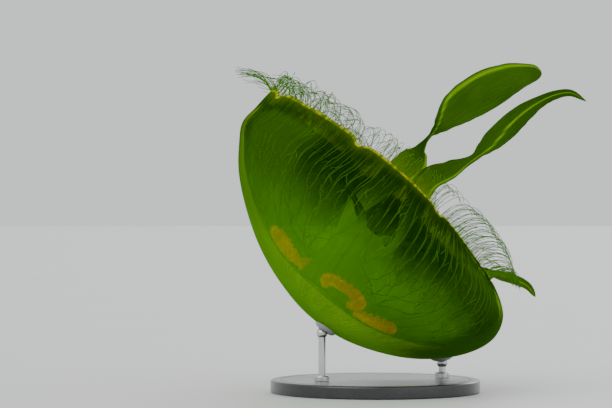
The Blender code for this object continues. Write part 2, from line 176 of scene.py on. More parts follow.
# The canals in the bell's lining
CANAL_RADIUS = 0.23 * MM
CANAL_SINK = 0.05 * MM  # of its middle under the lining
CANAL_SIDES = 5
CANAL_STEPS = 14
CANAL_START = 0.34  # the share where all canals begin
CANAL_SPLITS = [(0.38, 3), (0.47, 2), (0.56, 2), (0.66, 2)]  # the share of each fork, and its branches
CANAL_FAN = 0.92  # of a lobe's width, that the branches take up
CANAL_LINKS = 14  # short ones, in each lobe
RING_CANAL = 0.985

# The fringe
TENTACLES_PER_LOBE = 56
FRINGE_SHARE = 0.94  # of a lobe's edge carries tentacles
TENTACLE_LENGTH = 35 * MM
TENTACLE_STEPS = 26
TENTACLE_SIDES = 4
TENTACLE_BULB = 0.42 * MM
TENTACLE_ROOT = 0.19 * MM
TENTACLE_TIP = 0.12 * MM
BULB_ENDS = 25  # how soon the bulb thins into the thread
ROOT_STEP = 0.02  # before the rim, for a tentacle's first direction
COMB_LOW = (-0.3, 0.6)  # where the orderly comb sets in and is full, as the azimuth's cosine
COMB_BACK = (0.1, 0.6)  # where it fades and ends, as the azimuth's sine
COMB_CALM = 0.75  # of the looseness, that the comb lacks
COMB_SWEEP = 0.6
COMB_TILT = 0.35
COMB_BEND = 1.9
HIGH_FRINGE = (0.55, 0.95)  # where those of the high side set in and are full
INWARD_SHARE = 0.6  # of them fall inwards
TUFT_PATCH = 0.003  # of the unwrapped bell, from which a tentacle is coloured
TUFT_ROWS = 4
TUFT_PITCH = 1.3  # patches from row to row
TUFT_TOP = 0.985

# The sense organs
SENSE_RADIUS = 0.9 * MM
SENSE_SIDES = 20
SENSE_ROWS = 20
SENSE_STRETCH = 1.15

# The stand
BASE_RADIUS = 65 * MM
BASE_HEIGHT = 8 * MM
BASE_BEVEL = 1.5 * MM
GROOVE_RADIUS = 0.5 * MM
GROOVE_INSET = 6 * MM  # from the base's edge
ROD_RADIUS = 2.2 * MM
ROD_START = 3.2 * MM
COLLAR_RADIUS = ROD_RADIUS + 2.4 * MM
COLLAR_HEIGHT = 2.2 * MM
COLLAR_BEVEL = 0.8 * MM
BALL_RADIUS = 3.4 * MM
PAD_RADIUS = 7 * MM
PAD_THICK = 2.4 * MM
GAP = 0.4 * MM
RESTS = [(0.08, math.radians(-40)), (0.43, math.radians(12))]  # each pad's share and azimuth
REST_STEP = 0.02  # to its sides, for the bell's direction
CREASE = math.radians(38)  # an edge sharper than this isn't smoothed

# Colours of the flesh by share of the outline, and of an arm from its blade to its rib
OUTSIDE_TONES = [
    (0.0, (0.065, 0.24, 0.001)), (0.15, (0.075, 0.25, 0.001)), (0.33, (0.065, 0.21, 0.001)),
    (0.45, (0.04, 0.14, 0.001)), (0.62, (0.02, 0.085, 0.001)), (0.75, (0.008, 0.036, 0.001)),
    (0.93, (0.010, 0.045, 0.001)), (0.985, (0.06, 0.13, 0.003)),
]
# The lining is lightest at the crown and down the stalk: partly its own tone, and partly painted light that
# makes up for the shade in the stalk's dome.
LINING_TONES = [
    (0.0, (0.38, 0.54, 0.003)), (0.12, (0.18, 0.38, 0.002)), (0.25, (0.075, 0.22, 0.002)),
    (0.5, (0.026, 0.09, 0.002)), (0.72, (0.005, 0.022, 0.001)), (0.93, (0.005, 0.022, 0.001)),
    (0.985, (0.04, 0.10, 0.003)),
]
ARM_TONES = [(0.0, (0.004, 0.028, 0.001)), (0.35, (0.02, 0.09, 0.001)), (1.0, (0.24, 0.42, 0.004))]
# The colour of the painted shade on the bell's darker flank
PAINTED_SHADE_TONE = (0.008, 0.045, 0.001)
JELLY_TINT = (0.7, 0.95, 0.3)  # of what shows through canals and tentacles
PAINTED_SHADE_SIDE = math.radians(-25)  # round which the bell's flank is darkened with painted shade, on its outside and, less, on its lining
PAINTED_LIGHT_SIDE = math.radians(-148)  # round which its lining is lightened with painted light
WARM_SIDE = math.radians(-35)  # round which that is warmer near the rim
DENSE_SIDE = 0.0  # round which the flank lets less through

# How dense the flesh is, and how strong its painted glow is
OUTSIDE_DENSITY = [(0.0, 0.44), (0.4, 0.38), (0.62, 0.24), (0.88, 0.18), (0.96, 0.6), (0.99, 0.85)]
LINING_DENSITY = [(0.0, 0.6), (0.1, 0.5), (0.2, 0.14), (0.5, 0.22), (0.73, 0.76), (0.9, 0.93), (0.99, 0.93)]
ARM_DENSITY = [(0.0, 0.6), (0.5, 0.75), (1.0, 0.95)]
LINING_GLOW = [(0.0, 0.6), (0.15, 0.4), (0.5, 0.12)]
SLANT = 0.89  # how far a slanting look through the gel lengthens its path
LINING_SLANT = 0.44  # the same in the bell's lining

# The studio's lamps: name, where it shines from, strength, and width in degrees
LAMPS = [
    ("key", (-0.7, -0.8, 1.1), 1.5, 55),
    ("fill", (1.0, -0.9, 0.6), 0.5, 70),
    ("back", (0.5, 1.2, 0.9), 1.1, 45),
]
CAMERA_PLACE = (-0.0429, -1.596, 0.1168)
CAMERA_LENS = 151.2


# ---- shapes in the bell's frame


def world(points):
    """Points of the bell's frame (x, y, depth) in the world."""
    return CROWN_POINT + points @ TO_WORLD


def unit(vectors):
    return vectors / np.linalg.norm(vectors, axis=-1, keepdims=True)


def smooth(low, high, x):
    """From 0 at low to 1 at high, with no corner at either."""
    u = np.clip((x - low) / (high - low), 0, 1)
    return u * u * (3 - 2 * u)


def spline(points, t):
    """A smooth curve through all points but the first and last, which lead in and out, for t from 0 to 1."""
    steps = points.shape[-2] - 3
    at = np.clip(t, 0, 1) * steps
    first = np.minimum(at.astype(int), steps - 1)
    u = (at - first)[..., None]
    if points.ndim == 2:
        a, b, c, d = (points[first + k] for k in range(4))
    else:
        rows = np.arange(len(points))
        a, b, c, d = (points[rows, first + k] for k in range(4))
    slope, bow, skew = c - a, 2 * a - 5 * b + 4 * c - d, 3 * b - a - 3 * c + d
    return 0.5 * (2 * b + slope * u + bow * u ** 2 + skew * u ** 3)


def outline(azimuth):
    """The bell's outline at each azimuth, as control points for spline."""
    front = np.sin(azimuth)[:, None, None] ** 2
    low = (1 - front + np.cos(azimuth)[:, None, None]) / 2
    high = 1 - front - low
    points = LOW_SIDE * low + HIGH_SIDE * high + FRONT_SIDE * front
    across = LOW_SIDE[1:2] * high + HIGH_SIDE[1:2] * low + FRONT_SIDE[1:2] * front
    return np.concatenate([across * (-1, 1), points, 2 * points[:, -1:] - points[:, -2:-1]], axis=1)


def thickness(t, azimuth):
    """The bell's wall is thickest at the crown, and thicker towards the low side."""
    lean = 1 + LEAN * np.cos(azimuth) * np.minimum(t / LEAN_START, 1)
    return RIM_THICK + (CROWN_THICK - RIM_THICK) * (1 - t) ** THINNING * lean


def bell(t, azimuth, inside=0.0, under=0.0):
    """Points of the bell: at its outer skin, or, with inside 1, at its inner one, and under further in."""
    t, azimuth = np.broadcast_arrays(np.asarray(t, float), np.asarray(azimuth, float))
    shape = t.shape
    t, azimuth = t.ravel(), azimuth.ravel()
    inside, under = (np.broadcast_to(value, shape).ravel() for value in (inside, under))
    points = outline(azimuth)
    ahead, behind = (spline(points, t + step) for step in (SLOPE_STEP, -SLOPE_STEP))
    inward = unit(ahead - behind)[:, ::-1] * (-1, 1)
    here = spline(points, t) + inward * (inside * thickness(t, azimuth) + under)[:, None]
    made = np.stack([here[:, 0] * np.cos(azimuth), here[:, 0] * np.sin(azimuth), here[:, 1]], axis=-1)
    return made.reshape(*shape, 3)


def rim(azimuth):
    """How far along its outline the bell reaches at an azimuth: less in the notches between its lobes."""
    off = (azimuth - FIRST_ARM + LOBE / 2) % LOBE - LOBE / 2
    return 1 - NOTCH_DEPTH * np.exp(-((off / NOTCH_WIDTH) ** 2))


def ceiling_share(radius, azimuth):
    """Where along the outline the bell's inner skin has this radius."""
    low, high = np.zeros_like(radius), np.ones_like(radius)
    for _ in range(24):  # halvings
        middle = (low + high) / 2
        found = bell(middle, azimuth, 1)
        near = np.hypot(found[..., 0], found[..., 1]) < radius
        low, high = np.where(near, middle, low), np.where(near, high, middle)
    return low


def ceiling(x, y, under):
    """Points under the bell's ceiling."""
    azimuth = np.arctan2(y, x)
    return bell(ceiling_share(np.hypot(x, y), azimuth), azimuth, 1, under)


# ---- meshes


def turned_in(mesh):
    """Whether a closed mesh's faces point inwards, by its signed volume."""
    shape = bmesh.new()
    shape.from_mesh(mesh)
    volume = shape.calc_volume(signed=True)
    shape.free()
    return volume < 0


def solid(name, points, faces, colour_map=None, **marks):
    """An object from world points and faces, with marks on its points."""
    mesh = bpy.data.meshes.new(name)
    mesh.from_pydata(np.asarray(points).tolist(), [], faces)
    if turned_in(mesh):
        mesh.flip_normals()
    for mark, values in marks.items():
        mesh.attributes.new(mark, "FLOAT", "POINT").data.foreach_set("value", np.asarray(values, np.float32))
    if colour_map is not None:
        layer = mesh.uv_layers.new(name="OFBake")
        corners = np.empty(len(mesh.loops), int)
        mesh.loops.foreach_get("vertex_index", corners)
        layer.data.foreach_set("uv", np.asarray(colour_map, np.float32)[corners].ravel())
    mesh.shade_smooth()
    made = bpy.data.objects.new(name, mesh)
    bpy.context.collection.objects.link(made)
    return made


def dress(piece, finish, slot, *replaced):
    """Gives a piece its finish, hangs it from the root body, and hides the CAD parts that it replaces."""
    piece.data.materials.clear()
    piece.data.materials.append(finish)
    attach(piece, "root")
    if replaced:
        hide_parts(*replaced)


def ring_faces(rows, columns, first=0):
    """Quads between successive rings of points."""
    start = first + np.arange(rows - 1)[:, None] * columns + np.arange(columns)
    after = first + np.arange(rows - 1)[:, None] * columns + (np.arange(columns) + 1) % columns
    return np.stack([start, after, after + columns, start + columns], axis=-1).reshape(-1, 4).tolist()


def closed_rows(rows, start=None, end=None):
    """Points and faces of a closed body through rings of points. Each end is drawn together to a point, which
    is the middle of its ring unless it is given."""
    count, columns = rows.shape[:2]
    start = rows[0].mean(axis=0) if start is None else start
    end = rows[-1].mean(axis=0) if end is None else end
    points = np.concatenate([rows.reshape(-1, 3), [start, end]])
    head, tail, last = count * columns, count * columns + 1, (count - 1) * columns
    faces = ring_faces(count, columns)
    faces += [(head, (i + 1) % columns, i) for i in range(columns)]
    faces += [(tail, last + i, last + (i + 1) % columns) for i in range(columns)]
    return points, faces


def tubes(lines, radii, sides, reference):
    """Points and faces of one closed tube along each line (tubes x points x 3)."""
    count, steps = lines.shape[:2]
    along = unit(np.gradient(lines, axis=1))
    across = unit(np.cross(along, reference))
    up = np.cross(along, across)
    turn = TURN * np.arange(sides) / sides
    spokes = across[:, :, None] * np.cos(turn)[:, None] + up[:, :, None] * np.sin(turn)[:, None]
    points = lines[:, :, None] + spokes * radii[..., None, None]
    faces = []
    for i in range(count):
        first = i * steps * sides
        faces += ring_faces(steps, sides, first)
        faces.append(tuple(first + k for k in reversed(range(sides))))
        faces.append(tuple(first + (steps - 1) * sides + k for k in range(sides)))
    return points.reshape(-1, 3), faces


def search_tree(points):
    tree = KDTree(len(points))
    for i, point in enumerate(points):
        tree.insert(point, i)
    tree.balance()
    return tree


# ---- finishes


def rgba(colour):
    """A colour's four values, from its three or from the one number of a grey. A link stays as it is."""
    if isinstance(colour, bpy.types.NodeSocket):
        return colour
    red, green, blue = colour if isinstance(colour, tuple) else (colour,) * 3
    return red, green, blue, 1


class Finish:
    """A material's node tree, made node by node."""

    def __init__(self, name):
        self.material = bpy.data.materials.new(name)
        self.material.use_nodes = True
        self.tree = self.material.node_tree
        self.tree.nodes.clear()

    def add(self, kind, inputs, **settings):
        """A node with its settings, and on each of its inputs a value or a link."""
        node = self.tree.nodes.new("ShaderNode" + kind)
        for key, value in settings.items():
            setattr(node, key, value)
        for key, value in inputs.items():
            if isinstance(value, bpy.types.NodeSocket):
                self.tree.links.new(value, node.inputs[key])
            else:
                node.inputs[key].default_value = value
        return node

    def place(self):
        """Where a point of the piece is, in metres."""
        return self.add("TexCoord", {}).outputs["Object"]

    def mark(self, name, output="Fac"):
        return self.add("Attribute", {}, attribute_name=name).outputs[output]

    def noise(self, scale, detail, roughness=0.55, vector=None):
        inputs = {"Vector": vector or self.place(), "Scale": scale, "Detail": detail, "Roughness": roughness}
        return self.add("TexNoise", inputs).outputs["Fac"]

    def maths(self, operation, a, b, clamp=False):
        return self.add("Math", {0: a, 1: b}, operation=operation, use_clamp=clamp).outputs[0]

    def times(self, a, b, clamp=False):
        return self.maths("MULTIPLY", a, b, clamp)

    def span(self, value, low, high, to_low=0.0, to_high=1.0):
        """Smoothly from to_low, at the value low, to to_high, at the value high."""
        inputs = {"Value": value, "From Min": low, "From Max": high, "To Min": to_low, "To Max": to_high}
        return self.add("MapRange", inputs, interpolation_type="SMOOTHSTEP").outputs[0]

    def ramp(self, value, stops):
        """Colours or greys along a value."""
        node = self.add("ValToRGB", {"Fac": value})
        bar = node.color_ramp.elements
        for i, (place, colour) in enumerate(stops):
            stop = bar[i] if i < 2 else bar.new(place)
            stop.position = place
            stop.color = rgba(colour)
        return node.outputs["Color"]

    def blend(self, share, a, b):
        """From colour a, at share 0, to colour b, at share 1."""
        return self.add("Mix", {"Factor": share, 6: rgba(a), 7: rgba(b)}, data_type="RGBA").outputs[2]

    def bump(self, height, distance, strength=1.0):
        inputs = {"Height": height, "Distance": distance, "Strength": strength}
        return self.add("Bump", inputs).outputs["Normal"]

    def mixed(self, share, a, b):
        return self.add("MixShader", {0: share, 1: a, 2: b}).outputs[0]

    def done(self, shader):
        self.add("OutputMaterial", {"Surface": shader})
        return self.material

    def opaque(self, inputs):
        return self.done(self.add("BsdfPrincipled", inputs).outputs[0])

    def gel(self, tone, glow, opacity, roughness, tint, normal, through=0.45, slant=SLANT):
        """A see-through, light-scattering surface, denser where the eye meets it at a slant, with a painted
        glow in its own tone.
        """
        body = self.add("BsdfPrincipled", {
            "Base Color": tone, "Roughness": roughness, "Specular IOR Level": 0.0, "Emission Color": tone,
            "Emission Strength": glow, "Normal": normal, "Sheen Weight": 0.25, "Sheen Roughness": 0.4,
            "Sheen Tint": (0.35, 0.9, 0.05, 1),
        }).outputs[0]
        scatter = self.add("BsdfTranslucent", {"Color": tone, "Normal": normal}).outputs[0]
        filled = self.mixed(through, body, scatter)
        clear = self.add("BsdfTransparent", {"Color": rgba(tint)}).outputs[0]
        facing = self.add("LayerWeight", {"Blend": 0.5}).outputs["Facing"]
        path = self.maths("DIVIDE", 1.0, self.maths("SUBTRACT", 1.0, self.times(facing, slant)))
        left = self.maths("POWER", self.maths("SUBTRACT", 1.0, opacity), path)
        return self.done(self.mixed(self.maths("SUBTRACT", 1.0, left), clear, filled))


class Flesh(Finish):
    """The gel of bell, stalk and arms: bright and dense at the crown, dark in a band near the rim."""

    def __init__(self):
        super().__init__("jelly_flesh")
        self.share, self.inner, self.arm, self.rib = (self.mark(name) for name in MARKS)
        self.ray = self.mark("ray", "Vector")
        self.cloud = self.noise(22, 2)
        self.streaks = self.noise(30, 4, 0.6, self.ray)
        self.drift = self.maths("ADD", self.share, self.times(self.maths("SUBTRACT", self.cloud, 0.5), 0.1))
        # Painted shade: how far the flank on one side of the bell is darkened, from a little past the crown
        # to the rim
        self.painted_shade = self.times(self.towards(PAINTED_SHADE_SIDE, 0.25, 0.9), self.span(self.share, 0.22, 0.36))

    def towards(self, azimuth, low, high):
        """From 0 to 1 towards an azimuth, by the cosine of the angle from it."""
        aim = (math.cos(azimuth), math.sin(azimuth), 0)
        cosine = self.add("VectorMath", {0: self.ray, 1: aim}, operation="DOT_PRODUCT").outputs["Value"]
        return self.span(cosine, low, high)

    def patch(self, azimuth, reach, rise, fall):
        """A patch of the bell round an azimuth, between the shares where it sets in and ends."""
        side = self.times(self.towards(azimuth, *reach), self.span(self.share, *rise))
        return self.times(side, self.span(self.share, *fall))

    def lining_tone(self):
        tone = self.ramp(self.drift, LINING_TONES)
        # Painted light: the lining is lightened on one side of the bell, in the band between its middle and
        # its rim
        bright = self.patch(PAINTED_LIGHT_SIDE, (0.93, 0.985), (0.45, 0.7, 0.35, 0.9), (0.97, 0.88))
        tone = self.blend(bright, tone, (0.12, 0.21, 0.001))
        # Painted shade darkens the lining on that flank, half as much as the outside
        tone = self.blend(self.times(self.painted_shade, 0.5), tone, PAINTED_SHADE_TONE)
        warm = self.patch(WARM_SIDE, (0.9, 0.97), (0.62, 0.72, 0.0, 0.8), (0.93, 0.84))
        tone = self.blend(warm, tone, (0.09, 0.14, 0.001))
        return self.blend(self.span(self.streaks, 0.45, 0.7, 0.0, 0.3), tone, (0.05, 0.16, 0.002))

    def bell_tone(self):
        """The two walls, and the beaded lip where they meet, which is weaker on its inner side."""
        outside = self.ramp(self.drift, OUTSIDE_TONES)
        # Painted shade darkens the outside on that flank
        outside = self.blend(self.times(self.painted_shade, 0.85), outside, PAINTED_SHADE_TONE)
        walls = self.blend(self.inner, outside, self.lining_tone())
        beads = self.span(self.noise(48, 1, vector=self.ray), 0.42, 0.6)
        lip = self.blend(beads, (0.16, 0.25, 0.004), (0.60, 0.56, 0.012))
        at_rim = self.times(self.span(self.share, 0.986, 0.996), self.span(self.inner, 0.6, 1.0, 1.0, 0.3))
        return self.blend(at_rim, walls, lip)

    def arm_tone(self):
        tone = self.ramp(self.rib, ARM_TONES)
        return self.blend(self.span(self.streaks, 0.45, 0.7, 0.0, 0.35), tone, (0.02, 0.09, 0.002))

    def density(self):
        outside = self.ramp(self.share, OUTSIDE_DENSITY)
        flank = self.times(self.span(self.share, 0.3, 0.42), self.span(self.share, 0.78, 0.64))
        flank = self.times(self.towards(DENSE_SIDE, 0.82, 0.93), flank)
        outside = self.blend(flank, outside, 0.65)
        walls = self.blend(self.inner, outside, self.ramp(self.share, LINING_DENSITY))
        whole = self.blend(self.arm, walls, self.ramp(self.rib, ARM_DENSITY))
        streaked = self.span(self.streaks, 0.3, 0.7, 0.88, 1.12)
        return self.times(whole, self.times(self.span(self.cloud, 0.3, 0.7, 0.85, 1.1), streaked), clamp=True)

    def made(self):
        tone = self.blend(self.arm, self.bell_tone(), self.arm_tone())
        # Painted glow: even on the outside, strongest in the lining at the crown and down the stalk
        glow = self.blend(self.inner, 0.22, self.ramp(self.share, LINING_GLOW))
        tint = self.blend(self.arm, (0.66, 0.90, 0.15), (0.45, 0.7, 0.15))
        normal = self.bump(self.noise(700, 2), 0.00002, 0.5)
        slant = self.maths("SUBTRACT", SLANT, self.times(self.inner, SLANT - LINING_SLANT))
        return self.gel(tone, glow, self.density(), 0.36, tint, normal, slant=slant)


def canal_finish():
    f = Finish("canal_flesh")
    patch = f.noise(60, 3)
    tone = f.ramp(patch, [(0.3, (0.11, 0.25, 0.004)), (0.7, (0.22, 0.38, 0.008))])
    # The canals carry a painted glow
    return f.gel(tone, 0.45, 0.7, 0.35, JELLY_TINT, f.bump(patch, 0.0001))


def tentacle_finish():
    """A yellow bulb, and a green thread that darkens towards its tip."""
    f = Finish("tentacle_flesh")
    patch = f.noise(90, 3)
    tone = f.ramp(f.mark("along"), [
        (0.0, (0.42, 0.42, 0.008)), (0.06, (0.10, 0.27, 0.004)), (1.0, (0.05, 0.18, 0.003)),
    ])
    tone = f.blend(f.span(patch, 0.35, 0.7, 0.0, 0.5), tone, (0.14, 0.34, 0.005))
    # The tentacles carry a faint painted glow
    return f.gel(tone, 0.15, 0.85, 0.35, JELLY_TINT, f.bump(patch, 0.00005))


def gonad_finish():
    """Orange tissue, with a painted glow that is strongest on its side towards the bell's wall."""
    f = Finish("gonad_tissue_finish")
    high = f.mark("high")
    grain = f.noise(420, 4, 0.65)
    tone = f.ramp(f.noise(110, 3), [(0.35, (0.72, 0.22, 0.002)), (0.65, (1.0, 0.42, 0.004))])
    tone = f.blend(f.span(high, 0.5, 0.95, 0.0, 0.9), tone, (0.72, 0.36, 0.004))
    tone = f.blend(f.span(grain, 0.35, 0.6, 0.35, 0.0), tone, (0.30, 0.16, 0.002))
    opacity = f.ramp(high, [(0.1, 0.3), (0.5, 0.65), (0.9, 0.97)])
    glow = f.ramp(high, [(0.2, 1.5), (0.55, 1.5), (0.8, 0.9), (1.0, 0.7)])
    return f.gel(tone, glow, opacity, 0.42, (0.9, 0.85, 0.2), f.bump(grain, 0.0003), 0.3)


def sense_finish():
    f = Finish("sense_tissue_finish")
    grain = f.noise(900, 2)
    tone = f.ramp(f.mark("high"), [
        (0.0, (0.40, 0.42, 0.03)), (0.6, (0.50, 0.34, 0.02)), (1.0, (0.07, 0.03, 0.004)),
    ])
    # The sense organs carry a very faint painted glow
    return f.gel(tone, 0.05, 0.95, 0.35, (0.8, 0.8, 0.2), f.bump(grain, 0.00005), 0.2)


def lacquer_finish():
    f = Finish("stand_lacquer_finish")
    speck = f.noise(380, 4, 0.6)
    return f.opaque({
        "Base Color": f.ramp(speck, [(0.3, (0.012, 0.012, 0.013)), (0.7, (0.022, 0.022, 0.024))]),
        "Roughness": f.span(f.noise(14, 3), 0.3, 0.7, 0.24, 0.36),
        "Normal": f.bump(speck, 0.00006, 0.5), "Coat Weight": 0.35, "Coat Roughness": 0.12,
    })


def steel_finish():
    f = Finish("stand_steel_finish")
    stretched = f.add("Mapping", {"Vector": f.place(), "Scale": (900, 900, 30)}).outputs[0]
    lines = f.noise(1.0, 3, vector=stretched)
    return f.opaque({
        "Base Color": f.ramp(lines, [(0.3, (0.50, 0.51, 0.52)), (0.7, (0.68, 0.69, 0.70))]),
        "Roughness": f.span(lines, 0.3, 0.7, 0.2, 0.34),
        "Normal": f.bump(lines, 0.00003, 0.5), "Metallic": 1.0,
    })


def pad_finish():
    f = Finish("stand_pad_finish")
    cloud = f.noise(250, 3)
    tone = f.ramp(cloud, [(0.3, (0.30, 0.31, 0.31)), (0.7, (0.38, 0.39, 0.39))])
    return f.opaque({"Base Color": tone, "Roughness": 0.45, "Normal": f.bump(cloud, 0.00005)})


def floor_finish():
    f = Finish("pale_floor_finish")
    tone = f.ramp(f.noise(3, 4), [(0.3, (0.59, 0.60, 0.60)), (0.7, (0.62, 0.62, 0.615))])
    return f.opaque({"Base Color": tone, "Roughness": 0.6})


# ---- bell, stalk and arms


def pleats(share, azimuth):
    """How deep the fine folds are that set in towards the rim and end at it."""
    depth = PLEAT_DEPTH * smooth(0.72, 0.94, share) * (1 - smooth(0.975, 1, share))
    return depth * (np.sin(96 * azimuth) + 0.6 * np.sin(61 * azimuth + 1))


def stalk_foot(azimuth):
    """The stalk's radius at the ceiling: a corner for each arm, and a waist between."""
    return STALK_WAIST + STALK_CORNER * np.cos(2 * (azimuth - FIRST_ARM)) ** 6


def wall_rings(azimuth):
    """Rings down the bell's outside, round its lip and up its inside: points, share and how far inside."""
    edge = rim(azimuth)
    rings = []
    for share in np.linspace(0, 1, OUTER_ROWS + 1)[1:]:
        rings.append((bell(share * edge, azimuth, 0, pleats(share, azimuth)), share, 0))
    outer, under = bell(edge, azimuth), bell(edge, azimuth, 1)
    middle, spoke = (outer + under) / 2, (outer - under) / 2
    ahead = unit(middle - bell(edge - RIM_STEP, azimuth, 0.5)) * np.linalg.norm(spoke, axis=-1, keepdims=True)
    beads = np.abs(np.sin(BEADS / 2 * azimuth + 1.5 * np.sin(9 * azimuth))) * (1 + 0.5 * np.sin(23 * azimuth))
    ahead = ahead * (0.7 + 0.7 * beads)[:, None]
    for inner in np.arange(1, LIP_ROWS + 1) / (LIP_ROWS + 1):
        around = math.pi * inner
        rings.append((middle + spoke * math.cos(around) + ahead * math.sin(around), 1, inner))
    flare = ceiling_share(stalk_foot(azimuth) + FILLET, azimuth)
    for s in np.linspace(0, 1, INNER_ROWS):
        t = edge + (flare - edge) * s
        rings.append((bell(t, azimuth, 1, pleats(t / edge, azimuth)), t / edge, 1))
    return rings


def stalk_rings(azimuth, last, share):
    """Rings from the last one of the ceiling down the stalk, and in at its mouth."""
    foot = stalk_foot(azimuth)
    x, y = foot * np.cos(azimuth), foot * np.sin(azimuth)
    top = ceiling(x, y, 0)[:, 2]

    def stalk(s):
        size = np.interp(s, *zip(*STALK_TAPER))
        return np.stack([x * size, y * size, top + (STALK_END - top) * s], axis=-1)

    corner, past = stalk(0), stalk(FILLET_SHARE)
    fillet = np.linspace(0, 1, FILLET_ROWS + 1)[1:]
    down = [last * (1 - u) ** 2 + corner * 2 * u * (1 - u) + past * u * u for u in fillet]
    down += [stalk(s) for s in np.linspace(FILLET_SHARE, 1, STALK_ROWS + 1)[1:]]
    down += [stalk(1) * (size, size, 1) + (0, 0, lift * MM) for size, lift in MOUTH_LIPS]
    return [(ring, share * max(0, 1 - (i + 1) / 6), 1) for i, ring in enumerate(down)]


def bell_skin():
    """Bell and stalk: their rings, and the marks of all points with the two that close them."""
    azimuth = np.arange(COLUMNS) * TURN / COLUMNS
    rings = wall_rings(azimuth)
    last, share, _ = rings[-1]
    rings += stalk_rings(azimuth, last, share)
    rows = np.array([points for points, _, _ in rings])
    shares = np.array([np.broadcast_to(share, COLUMNS) for _, share, _ in rings])
    inner = np.array([np.broadcast_to(inside, COLUMNS) for _, _, inside in rings])
    arm = np.zeros(shares.shape)
    down = len(rows) - OUTER_ROWS - LIP_ROWS - INNER_ROWS
    arm[-down:] = 0.3 * smooth(0.6, 1, np.linspace(0, 1, down))[:, None]
    across = (np.broadcast_to(wave, shares.shape) for wave in (np.cos(azimuth), np.sin(azimuth)))
    marks = np.stack([shares, inner, arm, 0.4 * arm, *across, RAY_PACE * shares], axis=-1)
    ends = [(0, 0, 0, 0, 1, 0, 0), (0, 1, 0.3, 0.1, 1, 0, 0)]
    return rows, np.concatenate([marks.reshape(-1, marks.shape[-1]), ends])


def arm_rows(name, seed):
    """Rings round one oral arm, from inside the stalk to its tip, and how much each point is rib."""
    stations = np.array(ARMS[name], float)
    line, values = stations[:, :3] * MM, stations[:, 3:]
    root = line[0] * (ARM_ROOT_SHARE, ARM_ROOT_SHARE, 0) + (0, 0, ARM_ROOT_DEPTH)
    line = np.concatenate([[root * 2 - line[0], root], line, [line[-1] * 2 - line[-2]]])
    values = np.concatenate([[values[0]] * 2, values, [values[-1] * 2 - values[-2]]])
    length = np.linalg.norm(np.diff(line[1:-1], axis=0), axis=-1).sum()
    t = np.linspace(0, 1, int(length / ARM_STEP))
    here = spline(line, t)
    along = unit(np.gradient(here, axis=0))
    width, turn = spline(values, t).T
    flat = unit(np.cross(along, (0, 1, 0)))
    side = np.cross(along, flat)
    turn = np.radians(turn)[:, None]
    across = flat * np.cos(turn) + side * np.sin(turn)
    up = np.cross(along, across)
    tip = np.sqrt(np.clip(1 - ((t - 1 + ARM_TIP) / ARM_TIP).clip(0) ** 2, 0.01, 1))
    half = (np.maximum(width * tip, ARM_TIP_WIDTH) * MM / 2)[:, None]
    around = TURN * np.arange(ARM_AROUND) / ARM_AROUND
    u = np.cos(around)
    first, last = RIB_PLACES[name]
    place = first + (last - first) * smooth(*RIB_SHIFT, t)[:, None]
    rib = np.exp(-(((u - place) / RIB_SPREAD) ** 2))
    shine = np.maximum(rib, EDGE_SHINE * np.abs(u) ** 12)
    thin = BLADE_EDGE / 2 + (np.minimum(RIB_THICK, half * 2) / 2 - BLADE_EDGE / 2) * rib
    fold = half * BLADE_FOLD * (np.sqrt((u - place) ** 2 + 0.01) - 0.1)  # rounded at its bottom
    frill = np.abs(u) ** 3 * ruffle(t, u, length, seed)
    calm = smooth(0.04, 0.2, t)[:, None] * (1 - 0.75 * smooth(0.7, 1, t)[:, None])
    height = thin * np.tanh(BLADE_BLUNT * np.sin(around)) + fold
    height = height + FRILL_HEIGHT * calm * np.minimum(half / (5 * MM), 1.2) * frill
    reach = u * half * (1 + 0.01 * frill * calm)
    rows = here[:, None] + across[:, None] * reach[..., None] + up[:, None] * height[..., None]
    return rows, np.broadcast_to(shine, rows.shape[:2])


def ruffle(t, u, length, seed):
    """An arm's frill along its two edges, as waves of uneven length that differ from edge to edge."""
    run = t[:, None] * length / FRILL_WAVE * TURN
    wobble = 1.8 * np.sin(run * 0.17 + seed) + 0.9 * np.sin(run * 0.41 + 2 * seed)
    return np.where(u > 0, np.sin(run + wobble), np.sin(run * 1.13 + wobble * 1.2 + 2))


def arm_marks(rib):
    """The marks of an arm's points, with the two that close it."""
    rows = len(rib)
    place, spread = ARM_RAY
    blade = np.repeat(smooth(*ARM_DARKENS, np.linspace(0, 1, rows)), ARM_AROUND)
    across = np.tile(np.cos(TURN * np.arange(ARM_AROUND) / ARM_AROUND), rows) * spread
    along = np.repeat(np.linspace(0, spread, rows), ARM_AROUND)
    shares, inner, places = np.zeros(rib.size), np.ones(rib.size), np.full(rib.size, place)
    marks = [shares, inner, blade, rib.ravel(), places, across, along]
    ends = [(0, 1, 0, 0, 1, 0, 0), (0, 1, 1, 0.5, 1, 0, 0)]
    return np.concatenate([np.stack(marks, axis=-1), ends])


def unite(body, arms):
    """Joins the arms into the body."""
    for arm in arms:
        join = body.modifiers.new("join", "BOOLEAN")
        join.operation = "UNION"
        join.solver = "MANIFOLD"
        join.object = arm
    whole = bpy.data.meshes.new_from_object(body.evaluated_get(bpy.context.evaluated_depsgraph_get()))
    body.modifiers.clear()
    body.data = whole
    for arm in arms:
        bpy.data.objects.remove(arm)


